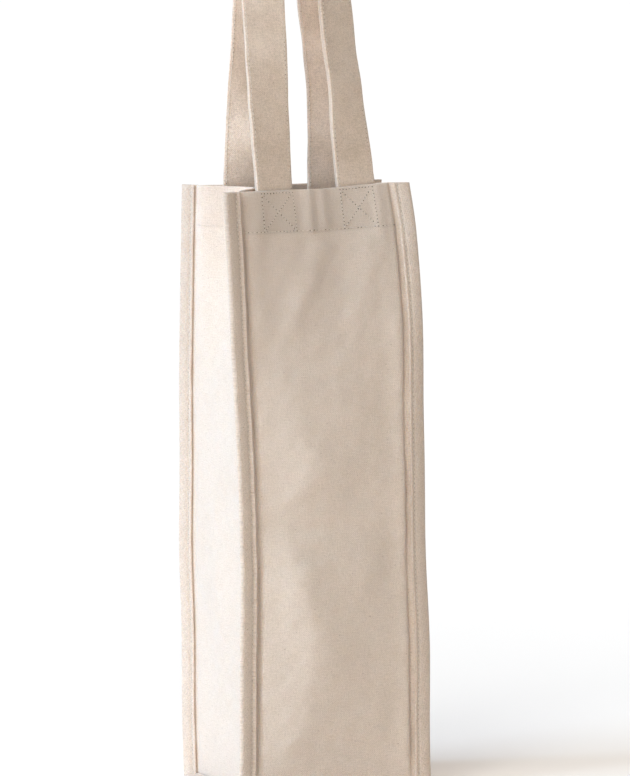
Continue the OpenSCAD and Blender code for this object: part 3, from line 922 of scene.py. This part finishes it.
def sew(name, rows, slot, body="bag", seed=0):
    """Rows of stitches along lines that lie on the cloth, each given as its points, the cloth's normals there, and the
    size of the needle's holes and the stitches' pitch against the usual ones."""
    rng = np.random.default_rng(seed)
    points, faces, kinds, cloth = [], [], [], []
    first = 0
    for line, normals, hole, pitch in rows:
        length = run_length(line)
        count = max(1, round(length[-1] / STITCH_PITCH / pitch))
        middles = (np.arange(count) + 0.5) / count * length[-1]
        way = unit(resample(line, length, middles + ROW_LOOK) - resample(line, length, middles - ROW_LOOK))
        normal = resample(normals, length, middles)
        normal = unit(normal - way * (normal * way).sum(-1, keepdims=True))
        side = np.cross(normal, way)
        scale = rng.uniform(*STITCH_SIZES, (count, 1, 1))
        slant = rng.normal(0, STITCH_SLANT, (count, 1, 1))
        sized = STITCH_POINTS.copy()
        sized[HOLE_FIRST:] = HOLE_MIDDLE + (sized[HOLE_FIRST:] - HOLE_MIDDLE) * (hole, hole, 1)
        shape = sized[None] * scale * (pitch, 1, 1)
        x, y, z = shape[..., :1], shape[..., 1:2] + slant * shape[..., :1], shape[..., 2:]
        at = resample(line, length, middles)
        made = at[:, None] + x * way[:, None] + y * side[:, None] + z * normal[:, None]
        points.append(made.reshape(-1, 3))
        cloth.append(np.broadcast_to(STITCH_POINTS / MM, made.shape).reshape(-1, 3) + ROW_SAMPLE * first)
        for start in range(first, first + len(points[-1]), len(STITCH_POINTS)):
            faces.extend(tuple(start + i for i in face) for face in STITCH_FACES)
            kinds.extend(STITCH_KINDS)
        first += len(points[-1])
    return make_piece(name, np.concatenate(points), faces, np.concatenate(cloth), [THREAD, HOLE_SHADE],
                      face_materials=kinds, body=body, slot=slot)


def sew_strap(name, rings, outline):
    """Two rows along each face of a strap, near its edges."""
    rows = []
    way = np.gradient(rings.mean(1), axis=0)
    for sign in (1, -1):
        face = np.flatnonzero(np.abs(outline[:, 1] - sign * STRAP_T / 2) < FACE_TOLERANCE)
        order = face[np.argsort(outline[face, 0])]
        low, high = rings[:, order[0]], rings[:, order[-1]]
        normal = unit(np.cross(way, high - low)) * -sign
        for edge in (-1, 1):
            share = 0.5 + edge * (STRAP_W / 2 - STRAP_ROW_MARGIN) / np.ptp(outline[face, 0])
            rows.append((low + (high - low) * share, normal, STRAP_HOLE, 1))
    piece = sew(name, rows, "strap", body=None, seed=STRAP_SEED)
    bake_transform(piece)
    return piece


def sheet_surface(side, share, z, depth):
    """Points of a sheet and the normals there, at a depth below its outer face. Share and z broadcast."""
    def place(share, z):
        level = z / BAG_H
        normal = side_normal(side, share, level, PLANE_LOOK)
        plan = side_point(side, share, level) + normal * (SEAM_HALF - depth + folds(side, share, z))[..., None]
        return np.concatenate([plan, (z + rim_lift(side, share, z))[..., None]], -1)

    share, z = np.broadcast_arrays(np.asarray(share, float), np.asarray(z, float))
    across = place(share + SHARE_LOOK, z) - place(share - SHARE_LOOK, z)
    up = place(share, z + HEIGHT_LOOK) - place(share, z - HEIGHT_LOOK)
    return place(share, z), unit(np.cross(across, up))


def through_rows(side, share, z, depth, hole, pitch):
    """A row on a sheet's outer face, and one behind it at a depth."""
    outer, normal = sheet_surface(side, share, z, 0)
    inner, inner_normal = sheet_surface(side, share, z, depth)
    return [(outer, normal, hole, pitch), (inner, -inner_normal, hole, pitch)]


def box_rows(side, leg):
    """The crossed box that holds a sewn end of a strap."""
    chord = np.linalg.norm(side_chord(side, RIM_LEVEL))
    middle = 0.5 + (leg * STRAP_SPACING / 2 + BOX_SHIFTS.get((side, leg), 0) * MM) / chord
    left, right, low, high = -BOX_W / 2, BOX_W / 2, HEM_ROW_Z, BAG_H - BOX_TOP
    corners = [(left, high), (right, high), (right, low), (left, low)]
    t = np.linspace(0, 1, BOX_STEPS)
    rows = []
    for start, end in BOX_STROKES:
        (x0, z0), (x1, z1) = corners[start], corners[end]
        share, z = middle + (x0 + (x1 - x0) * t) / chord, z0 + (z1 - z0) * t
        rows += through_rows(side, share, z, STRAP_FACE + SEAM_HALF + STRAP_T, BOX_HOLE, BOX_PITCH)
    return rows


def sew_hem(name, side):
    """The row that holds the turned-in hem, and for the sides that carry straps, a crossed box at each sewn end."""
    margin = HEM_ROW_MARGIN / side_width(side)
    share = np.linspace(margin, 1 - margin, HEM_ROW_STEPS)
    rows = through_rows(side, share, HEM_ROW_Z, 2 * CANVAS_T, HEM_HOLES[side], 1)
    if side in (FRONT, BACK):
        rows += box_rows(side, -1) + box_rows(side, 1)
    return sew(name, rows, "canvas", seed=HEM_SEED + side)


def sew_seam(name, corner):
    """The row through an upright binding, on both of its faces."""
    z = np.linspace(SEAM_ROW_MARGIN, BAG_H - SEAM_ROW_MARGIN, SEAM_ROW_STEPS)
    across = -outward(seam_direction(corner, z / BAG_H))
    rows = []
    for sign in (1, -1):
        height = np.full_like(z, sign * (BINDING_HALF - STITCH_SINK))
        line = binding_place(corner, np.full_like(z, BINDING_STITCH), height, z)
        rows.append((line, np.concatenate([sign * across, 0 * z[:, None]], -1), SEAM_HOLE, 1))
    return sew(name, rows, "binding", seed=SEAM_SEED + corner)


def sew_base_seam(name, side):
    """The row along the top of a base binding."""
    low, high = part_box(name + "_binding")
    y = np.linspace(low.y + SEAM_ROW_MARGIN, high.y - SEAM_ROW_MARGIN, BASE_ROW_STEPS)
    x, z = side * (BAG_W / 2 + BINDING_STITCH), SEAM_Z + BINDING_HALF - STITCH_SINK
    line = np.stack([np.full_like(y, x), y, np.full_like(y, z)], -1)
    rows = [(line, np.broadcast_to((0.0, 0.0, 1.0), line.shape), 1, 1)]
    return sew(name + "_seam_thread", rows, "binding", seed=BASE_SEED + side)


# The bag with its straps and stitches

# Each strap's lean in degrees and its rise over the rim
FRONT_LEAN, FRONT_RISE = 7, 148 * MM
BACK_LEAN, BACK_RISE = 1, 166 * MM

pieces = [
    sheet("front_canvas", FRONT, "front_panel"),
    sheet("back_canvas", BACK, "back_panel"),
    sheet("left_gusset_canvas", LEFT, "left_gusset", GUSSET_Z),
    sheet("right_gusset_canvas", RIGHT, "right_gusset", GUSSET_Z),
    base_sheet(),
]
pieces += [binding(name, corner) for corner, name in enumerate(CORNER_NAMES)]
pieces += [base_binding(name, side) for name, side in BASE_SEAMS]

handle("front_strap", FRONT, FRONT_LEAN, FRONT_RISE, "front_handle")
handle("back_strap", BACK, BACK_LEAN, BACK_RISE, "back_handle")

hem_threads = [sew_hem(name + "_hem_thread", side) for side, name in enumerate(SIDE_NAMES)]
seam_threads = [sew_seam(name + "_seam_thread", corner) for corner, name in enumerate(CORNER_NAMES)]
seam_threads += [sew_base_seam(name, side) for name, side in BASE_SEAMS]


# Floor, light and camera

FLOOR_SIZE = 40
FLOOR_COLOUR, FLOOR_GLOW_COLOUR, FLOOR_GLOW = (0.9375, 0.833, 0.739, 1), (0.6, 0.8, 1, 1), 0.115
SKY_COLOUR, SKY_STRENGTH = (1.0, 1.0, 1.0, 1), 0.11
# Name, azimuth, elevation, strength, angular size, colour
LAMPS = [
    ("key", -91, 22, 3.45, 34, (0.535, 0.738, 1.0)),
    ("front_fill", -25, 33, 0.7, 22, (0.88, 0.95, 1.0)),
    ("side_fill", -48, 31, 0.72, 24, (0.88, 0.95, 1.0)),
    ("top_fill", -62, 56, 0.7, 26, (0.9, 0.96, 1.0)),
    ("back", 150, 45, 1.4, 40, (1.0, 0.97, 0.92)),
]
CAMERA_AZIMUTH, CAMERA_ELEVATION, CAMERA_DISTANCE = -23.89, 5.99, 3.437
# How far the camera's target stands to the right of the bag's middle, and its height
TARGET_RIGHT, TARGET_Z = 5.46 * MM, 237 * MM
# The focal length and the picture's height in pixels, the sensor's size in mm and the clip distances
FOCAL_PIXELS, PICTURE_H, SENSOR, CLIP = 5814, 776, 36, (0.1, 100)


def towards(azimuth, elevation):
    """Direction towards an azimuth, 0 in front and rising to the right, and an elevation, in degrees."""
    azimuth, elevation = math.radians(azimuth), math.radians(elevation)
    level = math.cos(elevation)
    return Vector((math.sin(azimuth) * level, -math.cos(azimuth) * level, math.sin(elevation)))


def aim(thing, back):
    """Put a lamp or a camera in the scene, looking away from a direction."""
    thing.rotation_mode = "QUATERNION"
    thing.rotation_quaternion = (-back).to_track_quat("-Z", "Y")
    bpy.context.scene.collection.objects.link(thing)


def studio_floor():
    mesh = bpy.data.meshes.new("studio_floor")
    corners = [(x * FLOOR_SIZE, y * FLOOR_SIZE, 0) for x, y in ((-1, -1), (1, -1), (1, 1), (-1, 1))]
    mesh.from_pydata(corners, [], [(0, 1, 2, 3)])
    floor = bpy.data.objects.new("studio_floor", mesh)
    bpy.context.scene.collection.objects.link(floor)
    mesh.materials.append(Shading("pale_floor").surface({
        "Base Color": FLOOR_COLOUR, "Emission Color": FLOOR_GLOW_COLOUR, "Emission Strength": FLOOR_GLOW,
        **DULL_SURFACE}))


def studio_light():
    world = bpy.data.worlds.new("studio")
    world.use_nodes = True
    sky = world.node_tree.nodes["Background"]
    sky.inputs["Color"].default_value = SKY_COLOUR
    sky.inputs["Strength"].default_value = SKY_STRENGTH
    bpy.context.scene.world = world
    for name, azimuth, elevation, strength, angle, colour in LAMPS:
        data = bpy.data.lights.new(name, "SUN")
        data.energy = strength
        data.angle = math.radians(angle)
        data.color = colour
        aim(bpy.data.objects.new(name, data), towards(azimuth, elevation))
    bpy.context.scene.view_settings.view_transform = "Standard"


def camera():
    data = bpy.data.cameras.new("camera")
    data.sensor_width = SENSOR
    data.lens = FOCAL_PIXELS / PICTURE_H * SENSOR
    data.clip_start, data.clip_end = CLIP
    cam = bpy.data.objects.new("camera", data)
    back = towards(CAMERA_AZIMUTH, CAMERA_ELEVATION)
    angle = math.radians(CAMERA_AZIMUTH)
    target = Vector((math.cos(angle), math.sin(angle), 0)) * TARGET_RIGHT + Vector((0, 0, TARGET_Z))
    cam.location = target + back * CAMERA_DISTANCE
    aim(cam, back)
    bpy.context.scene.camera = cam


studio_floor()
studio_light()
camera()
